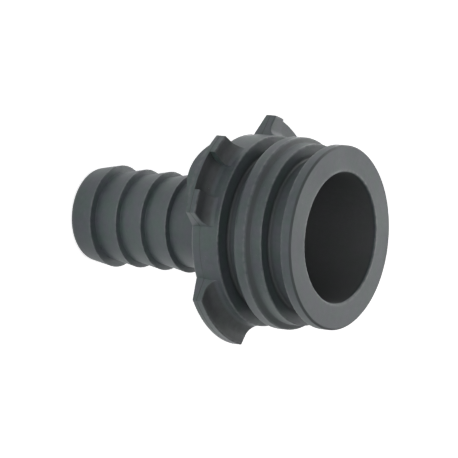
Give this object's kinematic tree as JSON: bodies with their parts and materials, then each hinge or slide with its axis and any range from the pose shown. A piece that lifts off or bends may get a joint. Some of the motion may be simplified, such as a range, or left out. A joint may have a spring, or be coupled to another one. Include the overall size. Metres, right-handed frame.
{
  "type": "hose barb tail",
  "caption": "Moulded hose tail: a barbed end for a hose, a stepped body with bayonet lugs, and a wider open spigot with grooves for sealing rings.",
  "frame": {"origin": "centre of the tail bore at the tail end, which the part stands on", "axes": "+Z along the bore, from the tail end up to the open face of the spigot; round +Z from +X the lugs are centred at 59.5, 149.5, 239.5 and 329.5 degrees, and the last is the key lug, which has no notch"},
  "size_m": [0.0626, 0.0626, 0.0812],
  "materials": {
    "moulded_plastic": "dark grey moulded plastic, fine satin surface"
  },
  "bodies": {
    "root": {"hose_tail": "moulded_plastic"}
  },
  "joints": []
}
